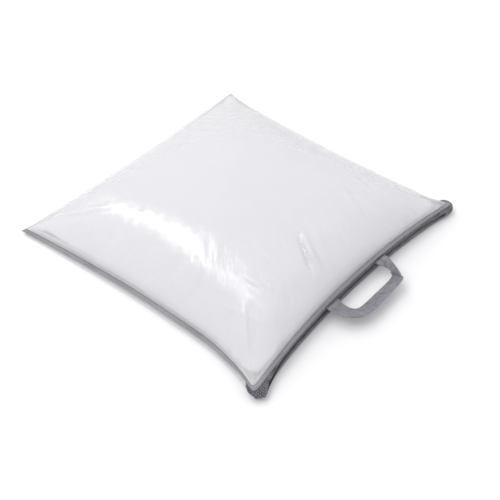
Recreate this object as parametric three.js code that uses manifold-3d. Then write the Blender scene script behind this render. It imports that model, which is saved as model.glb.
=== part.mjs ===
// A square bed pillow packed in a clear film carry bag with taped seams, a zip wall and a webbing handle.
// Millimetres, +Z up. The bag lies flat, with the zip wall and its handle on the -Y side.
// The origin is on the underside, below the middle of the square.
import * as THREE from 'three';
import Module from 'manifold-3d';
import { mergeVertices } from 'three/addons/utils/BufferGeometryUtils.js';

const wasm = await Module();
wasm.setup();

// Bag
const half = 300; // half of the square's side
const wallReach = 301; // from the middle to the upper edge of the zip wall, at its ends
const sideBow = 23; // how far the taped seams pull in at mid side
const wallBow = 23.5; // the same along the zip wall
const rightBow = 5; // the right seam pulls in by this much more
const leftSkew = 13; // the left seam pulls in more towards the zip wall and less towards the back
const leftPinch = 5; // and it is drawn in again here
const pinchPlace = -0.62; // along that seam, from -1 at the zip wall to 1 at the back
const pinchLength = 0.26;
const leftTip = { x: -4, y: 4 }; // how far the back corners stand off the square's own
const rightTip = { x: 7, y: -2 };
const frontTip = 8; // how far the front corners stand out sideways
const seamHeight = 17; // taped seams above the surface that the bag lies on
const cornerDrop = 5; // the seams dip by this much at the two back corners
const wallTop = 31; // upper edge of the zip wall at mid side
const wallTopDrop = 10; // it dips by this much towards the front corners
const wallFoot = 4; // lower edge of the zip wall
const wallTaper = 40; // length of side seam over which the wall runs out
const cornerPull = 6; // rounding of the two front corners
const footFlare = 6; // how far the wall's foot stands out at those corners
const footReach = 1; // and how far it stands out all along
const crown = 82; // rise of the upper film from seam to summit
const crownPower = 0.44; // lower is fuller towards the edges
const baseDrop = 41; // the lower film drops by this much from its edge until it lies flat
const basePower = 0.45;
const filmThickness = 0.8;
const bindingWidth = 8;
const bindingThickness = 2.4;
const bindingDroop = 5; // the outer edge of the tapes on the plain seams hangs this far down
const wallInset = 2.5; // the wall stands this far inside the outer edge of its tapes
const wallThickness = 0.9;
const gap = 0.4; // clearance between pieces that touch

// Pillow
const pillowInset = 11; // from the tapes' inner edge to the pillow's own seam
const pillowFullness = 10; // higher presses the pillow against the film closer to its seam
const tickingThickness = 1.6;
const pillowGap = 1.8; // between film and ticking
const seamCordRadius = 1.5;
const seamCordGap = 1;
const tickingParting = 1.2; // half the distance between the two panels where they end at the seam
const labelWidth = 32;
const labelReach = 4.5;
const labelDroop = 1.5;
const labelThickness = 0.8;
const labelPlace = 0.4; // along the right-hand seam, from -1 at the zip wall to 1 at the back

// Zip
const zipHeight = 14.5; // centre line of the closed zip
const zipReach = 274; // half length of the two coils
const zipTapeReach = 281;
const coilHeight = 2;
const coilGap = 1.6; // between the two coils, for the slider's post
const coilDepth = 1.8;
const tapeThickness = 0.7;
const lowerTapeHeight = 4.5;
const stopLength = 4;
const sliderPlace = -266; // along the wall, with the zip closed
const sliderLength = 13;
const sliderHeight = 9;
const plateThickness = 1.2;
const postLength = 4;
const postThickness = 0.7;
const lugThickness = 1.2;
const pinRadius = 0.8;
const pinStandoff = 2.6; // from the slider's face to the middle of the pin
const tabLength = 24;
const tabWidth = 5.2;
const tabThickness = 1.1;
const knuckleRadius = 2;
const knuckleHole = 1.2;

// Handle
const strapThickness = 1.8;
const strapTop = 27.8; // upper face of the webbing where it is sewn to the wall
const hingeY = -287; // the line that the free loop swings about
const loopGap = 1.4; // between that line and the end of the free loop
const tackLength = 27;
const tackWidth = 3;
const tackThickness = 0.8;

// The free loop's outer and inner edges, from its left end to its right end.
const loopOuter = [
  [-85, hingeY - loopGap, strapTop], [-82, -299, 27], [-76, -321, 26.5], [-50, -343, 27],
  [7, -345, 27], [62, -343, 27], [69, -333, 28], [84, -307, 28.5], [93, hingeY - loopGap, strapTop],
];
const loopInner = [
  [-53, hingeY - loopGap, strapTop], [-52, -294, 22], [-46, -309, 16], [-30, -317, 12.5],
  [15, -318, 11.5], [61, -318, 12], [70, -313, 16], [70, -299, 22], [63, hingeY - loopGap, strapTop],
];

// Facets
const panelSteps = 16;
const wallSteps = 44;
const seamSteps = 20;
const loopSteps = 32;
const roundSteps = 24;

const finishes = {
  film: { color: 0xeef0f4, roughness: 0.12, metalness: 0 },
  ticking: { color: 0xf4f4f2, roughness: 0.85, metalness: 0 },
  fibre: { color: 0xfafafa, roughness: 1, metalness: 0 },
  tape: { color: 0x8a8a90, roughness: 0.8, metalness: 0 },
  gusset: { color: 0x6e6e74, roughness: 0.85, metalness: 0 },
  webbing: { color: 0x83838c, roughness: 0.75, metalness: 0 },
  coil: { color: 0x5c5c62, roughness: 0.5, metalness: 0 },
  metal: { color: 0xc8cacc, roughness: 0.25, metalness: 1 },
  thread: { color: 0x77777c, roughness: 0.7, metalness: 0 },
  label: { color: 0xf6f6f6, roughness: 0.7, metalness: 0 },
};

const bag = new THREE.Group();

function addPart(name, geometry, finish) {
  const mesh = new THREE.Mesh(geometry, new THREE.MeshStandardMaterial(finishes[finish]));
  mesh.name = name;
  bag.add(mesh);
  return mesh;
}

// Helpers

function welded(geometry) {
  const bare = geometry.clone();
  bare.deleteAttribute('normal');
  bare.deleteAttribute('uv');
  return mergeVertices(bare);
}

// Moves every corner of a closed shape to where place(corner) puts it.
function moulded(geometry, place) {
  const shape = welded(geometry);
  const points = shape.attributes.position;
  for (let i = 0; i < points.count; i++) {
    const moved = place(new THREE.Vector3().fromBufferAttribute(points, i));
    points.setXYZ(i, moved.x, moved.y, moved.z);
  }
  return facingOut(shape);
}

// A shape that was moulded in mirror image has its triangles turned round.
function facingOut(shape) {
  const points = shape.attributes.position;
  const corner = (i) => new THREE.Vector3().fromBufferAttribute(points, i);
  const triangles = [];
  for (let i = 0; i < shape.index.count; i += 3) triangles.push([0, 1, 2].map((k) => shape.index.getX(i + k)));
  const volume = triangles.reduce((sum, [a, b, c]) => sum + corner(a).dot(corner(b).cross(corner(c))), 0);
  if (volume < 0) shape.setIndex(triangles.flatMap(([a, b, c]) => [a, c, b]));
  shape.computeVertexNormals();
  return shape;
}

// A box of segments, with place(u, v, w) given each corner's three fractions of its length, width and height.
function mouldedBox(stepsU, stepsV, place) {
  const box = new THREE.BoxGeometry(1, 1, 1, stepsU, stepsV, 1).translate(0.5, 0.5, 0.5);
  return moulded(box, (corner) => place(corner.x, corner.y, corner.z));
}

function toSolid(geometry) {
  const shape = welded(geometry);
  const vertProperties = new Float32Array(shape.attributes.position.array);
  const triVerts = new Uint32Array(shape.index.array);
  return new wasm.Manifold(new wasm.Mesh({ numProp: 3, vertProperties, triVerts }));
}

function toGeometry(solid) {
  const { vertProperties, triVerts } = solid.getMesh();
  const geometry = new THREE.BufferGeometry();
  geometry.setAttribute('position', new THREE.BufferAttribute(new Float32Array(vertProperties), 3));
  geometry.setIndex(new THREE.BufferAttribute(new Uint32Array(triVerts), 1));
  geometry.computeVertexNormals();
  return geometry;
}

function joined(geometries) {
  return toGeometry(geometries.map(toSolid).reduce((whole, next) => whole.add(next)));
}

// Plan and heights of the bag, in square coordinates s (across) and t (zip wall to back), each from -1 to 1

const wallRadius = (half * half + wallBow * wallBow) / (2 * wallBow);
const wallCentreY = wallBow - wallReach - wallRadius;
const bulge = (p) => 1 - p * p;
const spread = (p) => Math.sin((Math.PI / 2) * (2 * p - 1)); // bunches the segments towards the edges
const frontY = (x, inset) => Math.sqrt(wallRadius * wallRadius - x * x) + wallCentreY + inset;
const nearCorner = (s, t, power) => (t < 0 ? Math.pow(s * s * t * t, power) : 0);

// What the two side seams pull in beyond an even bow.
function sidePull(s, t) {
  if (s > 0) return rightBow * Math.pow(s, 3) * bulge(t);
  const pinch = leftPinch * Math.exp(-Math.pow((t - pinchPlace) / pinchLength, 2));
  return Math.pow(-s, 3) * (pinch - leftSkew * t * bulge(t));
}

// inset is measured inwards from the outer edge of the tapes, and foot is 1 at the level of the lower film.
function planPoint(s, t, inset, foot) {
  const pull = cornerPull * nearCorner(s, t, 30);
  const tip = s < 0 ? leftTip : rightTip;
  const nearBack = t > 0 ? Math.pow(s * t, 8) : 0;
  const sideways = nearBack * tip.x + Math.sign(s) * frontTip * nearCorner(s, t, 8);
  const x = s * (half - inset - sideBow * bulge(t) - sidePull(s, t) - pull);
  const back = t * (half - inset - sideBow * bulge(s)) + nearBack * tip.y;
  const front = -t * frontY(x, inset) + pull;
  const reach = foot * (footReach * t * t + footFlare * nearCorner(s, t, 3));
  return { x: x + sideways, y: t < 0 ? front - reach : back };
}

const tipT = wallTaper / wallReach - 1; // where the wall has run out into the side seams

// 1 along the zip wall and 0 from its tips to the back; softer towards the middle of the panel.
function nearWall(s, t) {
  const k = THREE.MathUtils.clamp((tipT - t) / (tipT + 1), 0, 1);
  const atSeam = k * k * (3 - 2 * k);
  const atMiddle = Math.pow((1 - t) / 2, 3);
  return THREE.MathUtils.lerp(atMiddle, atSeam, Math.pow(s, 8));
}

const seamZ = (s, t) => seamHeight - (t > 0 ? cornerDrop * s * s * t * t : 0);
const upperWallZ = (s) => wallTop - wallTopDrop * Math.pow(s, 4);
const upperZ = (s, t) => THREE.MathUtils.lerp(seamZ(s, t), upperWallZ(s), nearWall(s, t));
const lowerZ = (s, t) => THREE.MathUtils.lerp(seamZ(s, t), wallFoot, nearWall(s, t));
const topZ = (s, t) => upperZ(s, t) + gap / 2 + crown * Math.pow(bulge(s) * bulge(t), crownPower);
const baseEdgeZ = (s, t) => lowerZ(s, t) - gap / 2 - filmThickness;
const baseZ = (s, t) => Math.max(0, baseEdgeZ(s, t) - baseDrop * Math.pow(bulge(s) * bulge(t), basePower));

// Films

function filmPanel(heightAt, foot) {
  return mouldedBox(panelSteps, panelSteps, (u, v, w) => {
    const [s, t] = [spread(1 - u), spread(v)];
    return { ...planPoint(s, t, bindingWidth + 2 * gap, foot), z: heightAt(s, t) + filmThickness * w };
  });
}

// Pillow, in square coordinates of its own; side is 1 on top and -1 below

const pillowScale = 1 - pillowInset / half;

function pillowMiddleZ(s, t) {
  return (topZ(s * pillowScale, t * pillowScale) + baseZ(s * pillowScale, t * pillowScale)) / 2;
}

// depth is measured into the pillow from its outer face.
function pillowZ(s, t, side, depth) {
  const film = side > 0 ? topZ(s * pillowScale, t * pillowScale) : baseZ(s * pillowScale, t * pillowScale) + filmThickness;
  const reach = 1 - Math.pow(1 - bulge(s) * bulge(t), pillowFullness);
  const edge = pillowMiddleZ(s, t) + side * (tickingThickness + tickingParting);
  return THREE.MathUtils.lerp(edge, film - side * pillowGap, reach) - side * depth;
}

function pillowPoint(s, t, inset) {
  return planPoint(s, t, bindingWidth + pillowInset + inset, 0);
}

function tickingPanel(side) {
  return mouldedBox(panelSteps, panelSteps, (u, v, w) => {
    const [s, t] = [spread(u), spread(v)];
    const depth = tickingThickness * (side > 0 ? 1 - w : w);
    return { ...pillowPoint(s, t, 0), z: pillowZ(s, t, side, depth) };
  });
}

// The fill ends one segment short of the ticking's edge. Like the films, it is laid out from right to left, so that
// the diagonals of its facets match those of the ticking that it lies against.
function fibreFill() {
  const steps = panelSteps - 2;
  const inner = (p) => spread((1 + steps * p) / panelSteps);
  return mouldedBox(steps, steps, (u, v, w) => {
    const [s, t] = [inner(1 - u), inner(v)];
    const side = w > 0.5 ? 1 : -1;
    return { ...pillowPoint(s, t, 0), z: pillowZ(s, t, side, tickingThickness + 2 * gap) };
  });
}

// The square coordinates of a point on the edge, for a share of a full turn that starts at the right front corner.
function squareEdge(turn) {
  const sides = 4 * ((turn + 1) % 1);
  const along = spread(sides % 1);
  return [[1, along], [-along, 1], [-1, -along], [along, -1]][Math.floor(sides)];
}

// The cord of turned-in edges that runs all round, just outside the two ticking panels.
function tickingSeam() {
  const ring = new THREE.TorusGeometry(1, 0.5, 6, 4 * seamSteps);
  return moulded(ring, (corner) => {
    const [s, t] = squareEdge(Math.atan2(corner.y, corner.x) / (2 * Math.PI));
    const outwards = (Math.hypot(corner.x, corner.y) - 1) * 2 * seamCordRadius;
    const plan = pillowPoint(s, t, -seamCordRadius - seamCordGap - outwards);
    return { ...plan, z: pillowMiddleZ(s, t) + 2 * seamCordRadius * corner.z };
  });
}

function careLabel() {
  return mouldedBox(4, 1, (u, v, w) => {
    const inset = -2 * seamCordRadius - seamCordGap - gap - labelReach * u;
    const t = labelPlace + labelWidth / half * (v - 0.5);
    const z = pillowMiddleZ(1, t) - labelDroop * u + labelThickness * (w - 0.5);
    return { ...pillowPoint(1, t, inset), z };
  });
}

// Tapes over the three plain seams; at(along) gives the seam's square coordinates

function seamTape(from, to, at) {
  return mouldedBox(seamSteps, 1, (u, v, w) => {
    const [s, t] = at(THREE.MathUtils.lerp(from, to, u));
    const z = seamZ(s, t) - bindingDroop * (1 - v) + bindingThickness * (w - 0.5);
    return { ...planPoint(s, t, bindingWidth * v, 0), z };
  });
}

// Zip wall: it runs from a tip on the left seam round the front corner, along the front and to the right seam

function wallCoordinates(u) {
  const turn = 0.14; // share of the segments on each end that lies along a side seam
  if (u < turn) return [-1, THREE.MathUtils.lerp(tipT, -1, u / turn)];
  if (u > 1 - turn) return [1, THREE.MathUtils.lerp(-1, tipT, (u - 1 + turn) / turn)];
  return [spread((u - turn) / (1 - 2 * turn)), -1];
}

function wallTape(edgeZ, foot) {
  const ends = 0.032;
  return mouldedBox(wallSteps, 1, (u, v, w) => {
    const [s, t] = wallCoordinates(THREE.MathUtils.lerp(ends, 1 - ends, u));
    const z = edgeZ(s, t) + bindingThickness * (w - 0.5);
    return { ...planPoint(s, t, bindingWidth * (1 - v), foot), z };
  });
}

function gussetPanel() {
  const ends = 0.05;
  return mouldedBox(wallSteps, 1, (u, v, w) => {
    const [s, t] = wallCoordinates(THREE.MathUtils.lerp(ends, 1 - ends, u));
    const low = lowerZ(s, t) + bindingThickness / 2 + gap;
    const high = Math.min(zipHeight - sliderHeight / 2 - gap, upperZ(s, t) - bindingThickness / 2 - gap);
    const top = planPoint(s, t, wallInset + wallThickness * (1 - w), 0);
    const foot = planPoint(s, t, wallInset + wallThickness * (1 - w), 1);
    const y = THREE.MathUtils.lerp(foot.y, top.y, v);
    return { x: top.x, y, z: THREE.MathUtils.lerp(low, Math.max(high, low + 1), v) };
  });
}

// Zip strips along the front: low and high are heights, outer and inner are measured from the zip's plane

const zipInset = wallInset + wallThickness + gap + coilDepth / 2;
const coilEdge = coilGap / 2 + coilHeight;
const tapeEdge = coilEdge + gap;

function zipStrip(reach, low, heightAt, depth) {
  return mouldedBox(roundSteps, 1, (u, v, w) => {
    const x = reach * (2 * u - 1);
    return { x, y: frontY(x, zipInset + depth * (v - 0.5)), z: low + heightAt(x) * w };
  });
}

// Moves a geometry made around the origin to its place along the zip and turns it square to the wall.
function alongZip(geometry, x) {
  const lean = Math.asin(x / wallRadius);
  return geometry.rotateZ(-lean).translate(x, frontY(x, zipInset), zipHeight);
}

function zipStop(x) {
  return alongZip(new THREE.BoxGeometry(stopLength, coilDepth, 2 * coilEdge), x);
}

const plateY = coilDepth / 2 + gap + plateThickness / 2;
const pinY = -(plateY + plateThickness / 2 + pinStandoff);

function upright(radius, height) {
  return new THREE.CylinderGeometry(radius, radius, height, roundSteps).rotateX(Math.PI / 2);
}

function zipSlider() {
  const plate = (y) => new THREE.BoxGeometry(sliderLength, plateThickness, sliderHeight).translate(0, y, 0);
  const post = new THREE.BoxGeometry(postLength, 2 * plateY, postThickness);
  const lugReach = pinStandoff + pinRadius + plateThickness / 2;
  const lug = (side) => {
    const z = side * (sliderHeight - lugThickness) / 2;
    return new THREE.BoxGeometry(2.4 * pinRadius, lugReach, lugThickness).translate(0, -plateY - lugReach / 2, z);
  };
  const pin = upright(pinRadius, sliderHeight - lugThickness).translate(0, pinY, 0);
  return joined([plate(-plateY), plate(plateY), post, lug(1), lug(-1), pin]);
}

function zipPullTab() {
  const knuckle = upright(knuckleRadius, tabWidth);
  const blade = new THREE.BoxGeometry(tabLength, tabThickness, tabWidth).translate(-tabLength / 2, 0, 0);
  const hole = upright(knuckleHole, 2 * tabWidth);
  const tab = toSolid(knuckle).add(toSolid(blade)).subtract(toSolid(hole));
  return toGeometry(tab).translate(0, pinY, 0);
}

// Handle

function handleLoop() {
  const curve = (points) => new THREE.CatmullRomCurve3(points.map((p) => new THREE.Vector3(...p)));
  const outer = curve(loopOuter);
  const inner = curve(loopInner);
  return mouldedBox(loopSteps, 1, (u, v, w) => {
    const across = inner.getPoint(u).sub(outer.getPoint(u));
    const along = outer.getTangent(u).add(inner.getTangent(u));
    const upwards = across.clone().cross(along).normalize();
    if (upwards.z < 0) upwards.negate();
    return outer.getPoint(u).addScaledVector(across, 1 - v).addScaledVector(upwards, strapThickness * (w - 1));
  });
}

function handleEnd(outerX, innerX) {
  const low = strapTop - strapThickness;
  const inset = wallInset - gap;
  return mouldedBox(1, 1, (u, v, w) => {
    const x = THREE.MathUtils.lerp(Math.min(outerX, innerX), Math.max(outerX, innerX), u);
    return { x, y: v > 0.5 ? frontY(x, inset) : hingeY + gap, z: low + strapThickness * w };
  });
}

function handleTack(outerX, innerX) {
  const x = (outerX + innerX) / 2;
  const bar = new THREE.BoxGeometry(tackLength, tackWidth, tackThickness);
  return bar.translate(x, frontY(x, -tackWidth / 2 - gap), strapTop + gap + tackThickness / 2);
}

// Assembly

addPart('fibre_fill', fibreFill(), 'fibre');
addPart('ticking_top', tickingPanel(1), 'ticking');
addPart('ticking_bottom', tickingPanel(-1), 'ticking');
addPart('ticking_seam', tickingSeam(), 'ticking');
addPart('care_label', careLabel(), 'label');

addPart('film_top', filmPanel(topZ, 0), 'film');
addPart('film_bottom', filmPanel(baseZ, 1), 'film');

const sideEnd = (half - bindingWidth - 2 * gap) / half;
addPart('binding_left', seamTape(tipT + 0.01, sideEnd, (t) => [-1, t]), 'tape');
addPart('binding_right', seamTape(sideEnd, tipT + 0.01, (t) => [1, t]), 'tape');
addPart('binding_back', seamTape(-1, 1, (s) => [s, 1]), 'tape');
addPart('binding_front_upper', wallTape(upperZ, 0), 'tape');
addPart('binding_front_lower', wallTape(lowerZ, 1), 'tape');
addPart('gusset_panel', gussetPanel(), 'gusset');

const coil = (low) => zipStrip(zipReach, low, () => coilHeight, coilDepth);
const wallEdgeZ = (x) => upperWallZ(x / (half - zipInset - cornerPull)) - bindingThickness / 2 - gap;
const upperTapeHeight = (x) => wallEdgeZ(x) - zipHeight - tapeEdge;
const lowerTapeZ = zipHeight - tapeEdge - lowerTapeHeight;
addPart('zip_coil_upper', coil(zipHeight + coilGap / 2), 'coil');
addPart('zip_coil_lower', coil(zipHeight - coilEdge), 'coil');
addPart('zip_tape_upper', zipStrip(zipTapeReach, zipHeight + tapeEdge, upperTapeHeight, tapeThickness), 'gusset');
addPart('zip_tape_lower', zipStrip(zipTapeReach, lowerTapeZ, () => lowerTapeHeight, tapeThickness), 'gusset');
addPart('zip_stop_closed_end', zipStop(-zipReach - gap - stopLength / 2), 'metal');
addPart('zip_stop_open_end', zipStop(zipReach + gap + stopLength / 2), 'metal');
addPart('zip_slider', alongZip(zipSlider(), sliderPlace), 'metal');
addPart('zip_pull_tab', alongZip(zipPullTab(), sliderPlace), 'metal');

const ends = { left: [loopOuter[0][0], loopInner[0][0]], right: [loopOuter.at(-1)[0], loopInner.at(-1)[0]] };
addPart('handle_strap', handleLoop(), 'webbing');
for (const [side, [outerX, innerX]] of Object.entries(ends)) {
  addPart(`handle_end_${side}`, handleEnd(outerX, innerX), 'webbing');
  addPart(`handle_tack_${side}`, handleTack(outerX, innerX), 'thread');
}

export default bag;
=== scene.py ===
import math
import random

import bpy
import numpy as np
from mathutils import Matrix, Vector, noise
from mathutils.bvhtree import BVHTree


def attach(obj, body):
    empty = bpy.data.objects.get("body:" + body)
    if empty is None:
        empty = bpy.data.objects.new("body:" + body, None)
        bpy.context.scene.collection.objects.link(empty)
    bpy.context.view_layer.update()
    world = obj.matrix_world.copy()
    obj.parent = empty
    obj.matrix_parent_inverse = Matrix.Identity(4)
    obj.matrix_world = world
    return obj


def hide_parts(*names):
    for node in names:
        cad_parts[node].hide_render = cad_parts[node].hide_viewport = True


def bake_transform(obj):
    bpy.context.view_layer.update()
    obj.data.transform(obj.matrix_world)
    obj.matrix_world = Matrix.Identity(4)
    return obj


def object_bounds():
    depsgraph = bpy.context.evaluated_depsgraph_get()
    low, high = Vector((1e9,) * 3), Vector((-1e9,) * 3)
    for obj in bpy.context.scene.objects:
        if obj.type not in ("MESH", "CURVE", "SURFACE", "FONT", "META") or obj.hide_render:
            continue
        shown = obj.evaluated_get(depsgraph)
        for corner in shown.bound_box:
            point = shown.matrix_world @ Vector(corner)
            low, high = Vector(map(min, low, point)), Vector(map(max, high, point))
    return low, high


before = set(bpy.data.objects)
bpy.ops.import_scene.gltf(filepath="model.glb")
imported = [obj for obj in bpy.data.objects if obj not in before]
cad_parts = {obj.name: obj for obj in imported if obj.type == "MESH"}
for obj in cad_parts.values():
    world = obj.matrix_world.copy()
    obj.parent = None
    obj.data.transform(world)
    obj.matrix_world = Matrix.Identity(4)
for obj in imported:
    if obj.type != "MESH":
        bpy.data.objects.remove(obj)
cadLow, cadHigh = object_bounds()
scene = bpy.context.scene

view = {
    "target": (-0.044, -0.065, 0.0),
    "azimuth": -49.05,
    "elevation": 45.6,
    "distance": 1.717,
    "lens": 63.86,
    "sensor": 36.0,
}


# right, up and back of someone who looks at the bag from this direction
def facing(azimuth, elevation):
    a, e = math.radians(azimuth), math.radians(elevation)
    back = Vector((math.sin(a) * math.cos(e), -math.cos(a) * math.cos(e), math.sin(e)))
    right = Vector((math.cos(a), math.sin(a), 0))
    return right, back.cross(right), back


def placed(obj, aim, azimuth, elevation, distance):
    right, up, back = facing(azimuth, elevation)
    turn = Matrix((right, up, back)).transposed()
    obj.matrix_world = Matrix.Translation(Vector(aim) + back * distance) @ turn.to_4x4()
    scene.collection.objects.link(obj)
    return obj


def addCamera():
    data = bpy.data.cameras.new("camera")
    data.lens = view["lens"]
    data.sensor_width = view["sensor"]
    camera = bpy.data.objects.new("camera", data)
    scene.camera = placed(camera, view["target"], view["azimuth"], view["elevation"], view["distance"])


studio = {
    "ambientColor": (0.98, 0.975, 0.99),
    "ambientStrength": 0.88,
    # name, azimuth, elevation, distance, size, power, colour, and whether the film mirrors it
    "lamps": [
        # the big soft light stands off the left-hand seam
        ("keyLight", -112.0, 60.0, 2.6, (1.6, 1.1), 15.0, (1.0, 0.99, 0.97), False),
        # a weaker one off the right-hand seam throws the bag's shadow to the left
        ("sideLight", 95.0, 34.0, 2.6, (1.6, 1.1), 4.0, (1.0, 1.0, 1.0), False),
        # a tall narrow one, which the film mirrors as a broken streak
        ("stripLight", 171.0, 55.0, 2.4, (0.17, 2.5), 15.0, (1.0, 1.0, 1.0), True),
    ],
    "floorColor": (0.90, 0.90, 0.905),
    "floorHalf": 6.0,
}


def addAreaLight(name, azimuth, elevation, distance, size, power, color, mirrored):
    data = bpy.data.lights.new(name, type="AREA")
    data.shape = "RECTANGLE"
    data.size, data.size_y = size
    data.energy = power
    data.color = color
    lamp = placed(bpy.data.objects.new(name, data), (0, 0, 0.05), azimuth, elevation, distance)
    lamp.visible_glossy = mirrored


def addNode(tree, kind, inputs=None, **settings):
    node = tree.nodes.new(kind)
    for name, value in settings.items():
        setattr(node, name, value)
    for name, value in (inputs or {}).items():
        if isinstance(value, bpy.types.NodeSocket):
            tree.links.new(value, node.inputs[name])
        else:
            node.inputs[name].default_value = value
    return node


def newMaterial(name, inputs=None):
    material = bpy.data.materials.new(name)
    material.use_nodes = True
    tree = material.node_tree
    shader = tree.nodes["Principled BSDF"]
    for key, value in (inputs or {}).items():
        shader.inputs[key].default_value = value
    return material, tree, shader


def objectPlace(tree):
    return addNode(tree, "ShaderNodeTexCoord").outputs["Object"]


def noiseOf(tree, place, scale, detail, inputs=None):
    settings = {"Vector": place, "Scale": scale, "Detail": detail, **(inputs or {})}
    return addNode(tree, "ShaderNodeTexNoise", settings).outputs["Fac"]


def waveOf(tree, place, scale, direction):
    wave = addNode(tree, "ShaderNodeTexWave", {"Vector": place, "Scale": scale}, bands_direction=direction)
    return wave.outputs["Fac"]


def mathOf(tree, operation, *values):
    return addNode(tree, "ShaderNodeMath", dict(enumerate(values)), operation=operation).outputs["Value"]


def mapped(tree, value, settings):
    return addNode(tree, "ShaderNodeMapRange", {"Value": value, **settings}).outputs["Result"]


# a ramp from one colour to another
def twoTone(tree, value, dark, light, low=0.0, high=1.0):
    ramp = addNode(tree, "ShaderNodeValToRGB", {"Fac": value})
    for stop, position, color in zip(ramp.color_ramp.elements, (low, high), (dark, light)):
        stop.position = position
        stop.color = (*color, 1)
    return ramp.outputs["Color"]


def bumpOf(tree, height, strength, distance, under=None):
    settings = {"Height": height, "Strength": strength, "Distance": distance}
    if under is not None:
        settings["Normal"] = under
    return addNode(tree, "ShaderNodeBump", settings).outputs["Normal"]


def connect(tree, shader, outputs):
    for name, output in outputs.items():
        tree.links.new(output, shader.inputs[name])


def dimmed(color, share):
    return [c * share for c in color]


def addStudio():
    world = bpy.data.worlds.new("studio")
    world.use_nodes = True
    scene.world = world
    background = world.node_tree.nodes["Background"]
    background.inputs["Color"].default_value = (*studio["ambientColor"], 1)
    background.inputs["Strength"].default_value = studio["ambientStrength"]
    scene.view_settings.view_transform = "Standard"
    for lamp in studio["lamps"]:
        addAreaLight(*lamp)
    bpy.ops.mesh.primitive_plane_add(size=2 * studio["floorHalf"], location=(0, 0, cadLow[2]))
    floor = bpy.context.active_object
    floor.name = "studioFloor"
    material, tree, shader = newMaterial("floorPaint", {"Roughness": 0.9, "Specular IOR Level": 0.1})
    shader.inputs["Base Color"].default_value = (*studio["floorColor"], 1)
    floor.data.materials.append(material)


print("camera and studio")
addCamera()
addStudio()
bpy.ops.object.select_all(action="DESELECT")

# sizes of the bag in metres, as in the solid model
bag = {
    "half": 0.300,
    "wallReach": 0.301,
    "sideBow": 0.023,
    "wallBow": 0.0235,
    "rightBow": 0.005,
    "leftSkew": 0.013,
    "leftPinch": 0.005,
    "pinchPlace": -0.62,
    "pinchLength": 0.26,
    "leftTip": (-0.004, 0.004),
    "rightTip": (0.007, -0.002),
    "frontTip": 0.008,
    "seamHeight": 0.017,
    "cornerDrop": 0.005,
    "wallTop": 0.031,
    "wallTopDrop": 0.010,
    "wallFoot": 0.004,
    "wallTaper": 0.040,
    "cornerPull": 0.006,
    "footFlare": 0.006,
    "footReach": 0.001,
    "crown": 0.082,
    "crownPower": 0.44,
    "baseDrop": 0.041,
    "basePower": 0.45,
    "bindingWidth": 0.008,
    "bindingDroop": 0.005,
    "wallInset": 0.0025,
    "pillowInset": 0.011,
    "pillowFullness": 10,
    "zipHeight": 0.0145,
    "zipInset": 0.0047,
}
wallRadius = (bag["half"] ** 2 + bag["wallBow"] ** 2) / (2 * bag["wallBow"])
wallCentreY = bag["wallBow"] - bag["wallReach"] - wallRadius
tipT = bag["wallTaper"] / bag["wallReach"] - 1
pillowScale = 1 - bag["pillowInset"] / bag["half"]


def lerp(a, b, k):
    return a + (b - a) * k


def smooth(low, high, value):
    k = np.clip((value - low) / (high - low), 0, 1)
    return k * k * (3 - 2 * k)


def bulge(p):
    return 1 - p * p


def spread(p):  # bunches the rows of a grid towards its edges
    return np.sin(np.pi / 2 * (2 * p - 1))


def frontY(x, inset):
    return np.sqrt(wallRadius ** 2 - x ** 2) + wallCentreY + inset


def nearCorner(s, t, power):
    return np.where(t < 0, np.abs(s * t) ** (2 * power), 0.0)


# what the two side seams pull in beyond an even bow
def sidePull(s, t):
    pinch = bag["leftPinch"] * np.exp(-((t - bag["pinchPlace"]) / bag["pinchLength"]) ** 2)
    left = np.abs(s) ** 3 * (pinch - bag["leftSkew"] * t * bulge(t))
    return np.where(s > 0, bag["rightBow"] * np.abs(s) ** 3 * bulge(t), left)


# s runs across and t from the zip wall to the back, both from -1 to 1
# foot is 1 at the level of the lower film
def planPoint(s, t, inset, foot=0.0):
    pull = bag["cornerPull"] * nearCorner(s, t, 30)
    nearBack = np.where(t > 0, np.abs(s * t) ** 8, 0.0)
    tipX = np.where(s < 0, bag["leftTip"][0], bag["rightTip"][0])
    tipY = np.where(s < 0, bag["leftTip"][1], bag["rightTip"][1])
    x = s * (bag["half"] - inset - bag["sideBow"] * bulge(t) - sidePull(s, t) - pull)
    back = t * (bag["half"] - inset - bag["sideBow"] * bulge(s)) + nearBack * tipY
    front = -t * frontY(x, inset) + pull
    reach = foot * (bag["footReach"] * t * t + bag["footFlare"] * nearCorner(s, t, 3))
    sideways = nearBack * tipX + np.sign(s) * bag["frontTip"] * nearCorner(s, t, 8)
    return x + sideways, np.where(t < 0, front - reach, back)


def nearWall(s, t):
    k = np.clip((tipT - t) / (tipT + 1), 0, 1)
    return lerp(((1 - t) / 2) ** 3, k * k * (3 - 2 * k), np.abs(s) ** 8)


def seamZ(s, t):
    return bag["seamHeight"] - np.where(t > 0, bag["cornerDrop"] * s * s * t * t, 0.0)


def upperZ(s, t):
    return lerp(seamZ(s, t), bag["wallTop"] - bag["wallTopDrop"] * s ** 4, nearWall(s, t))


def lowerZ(s, t):
    return lerp(seamZ(s, t), bag["wallFoot"], nearWall(s, t))


def topZ(s, t):
    return upperZ(s, t) + bag["crown"] * np.maximum(bulge(s) * bulge(t), 0) ** bag["crownPower"]


def baseZ(s, t):
    drop = bag["baseDrop"] * np.maximum(bulge(s) * bulge(t), 0) ** bag["basePower"]
    return np.maximum(0.0, lowerZ(s, t) - 0.001 - drop)


def gridPoints(columns, rows):
    v, u = np.meshgrid(np.linspace(0, 1, rows + 1), np.linspace(0, 1, columns + 1), indexing="ij")
    return u, v


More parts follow.
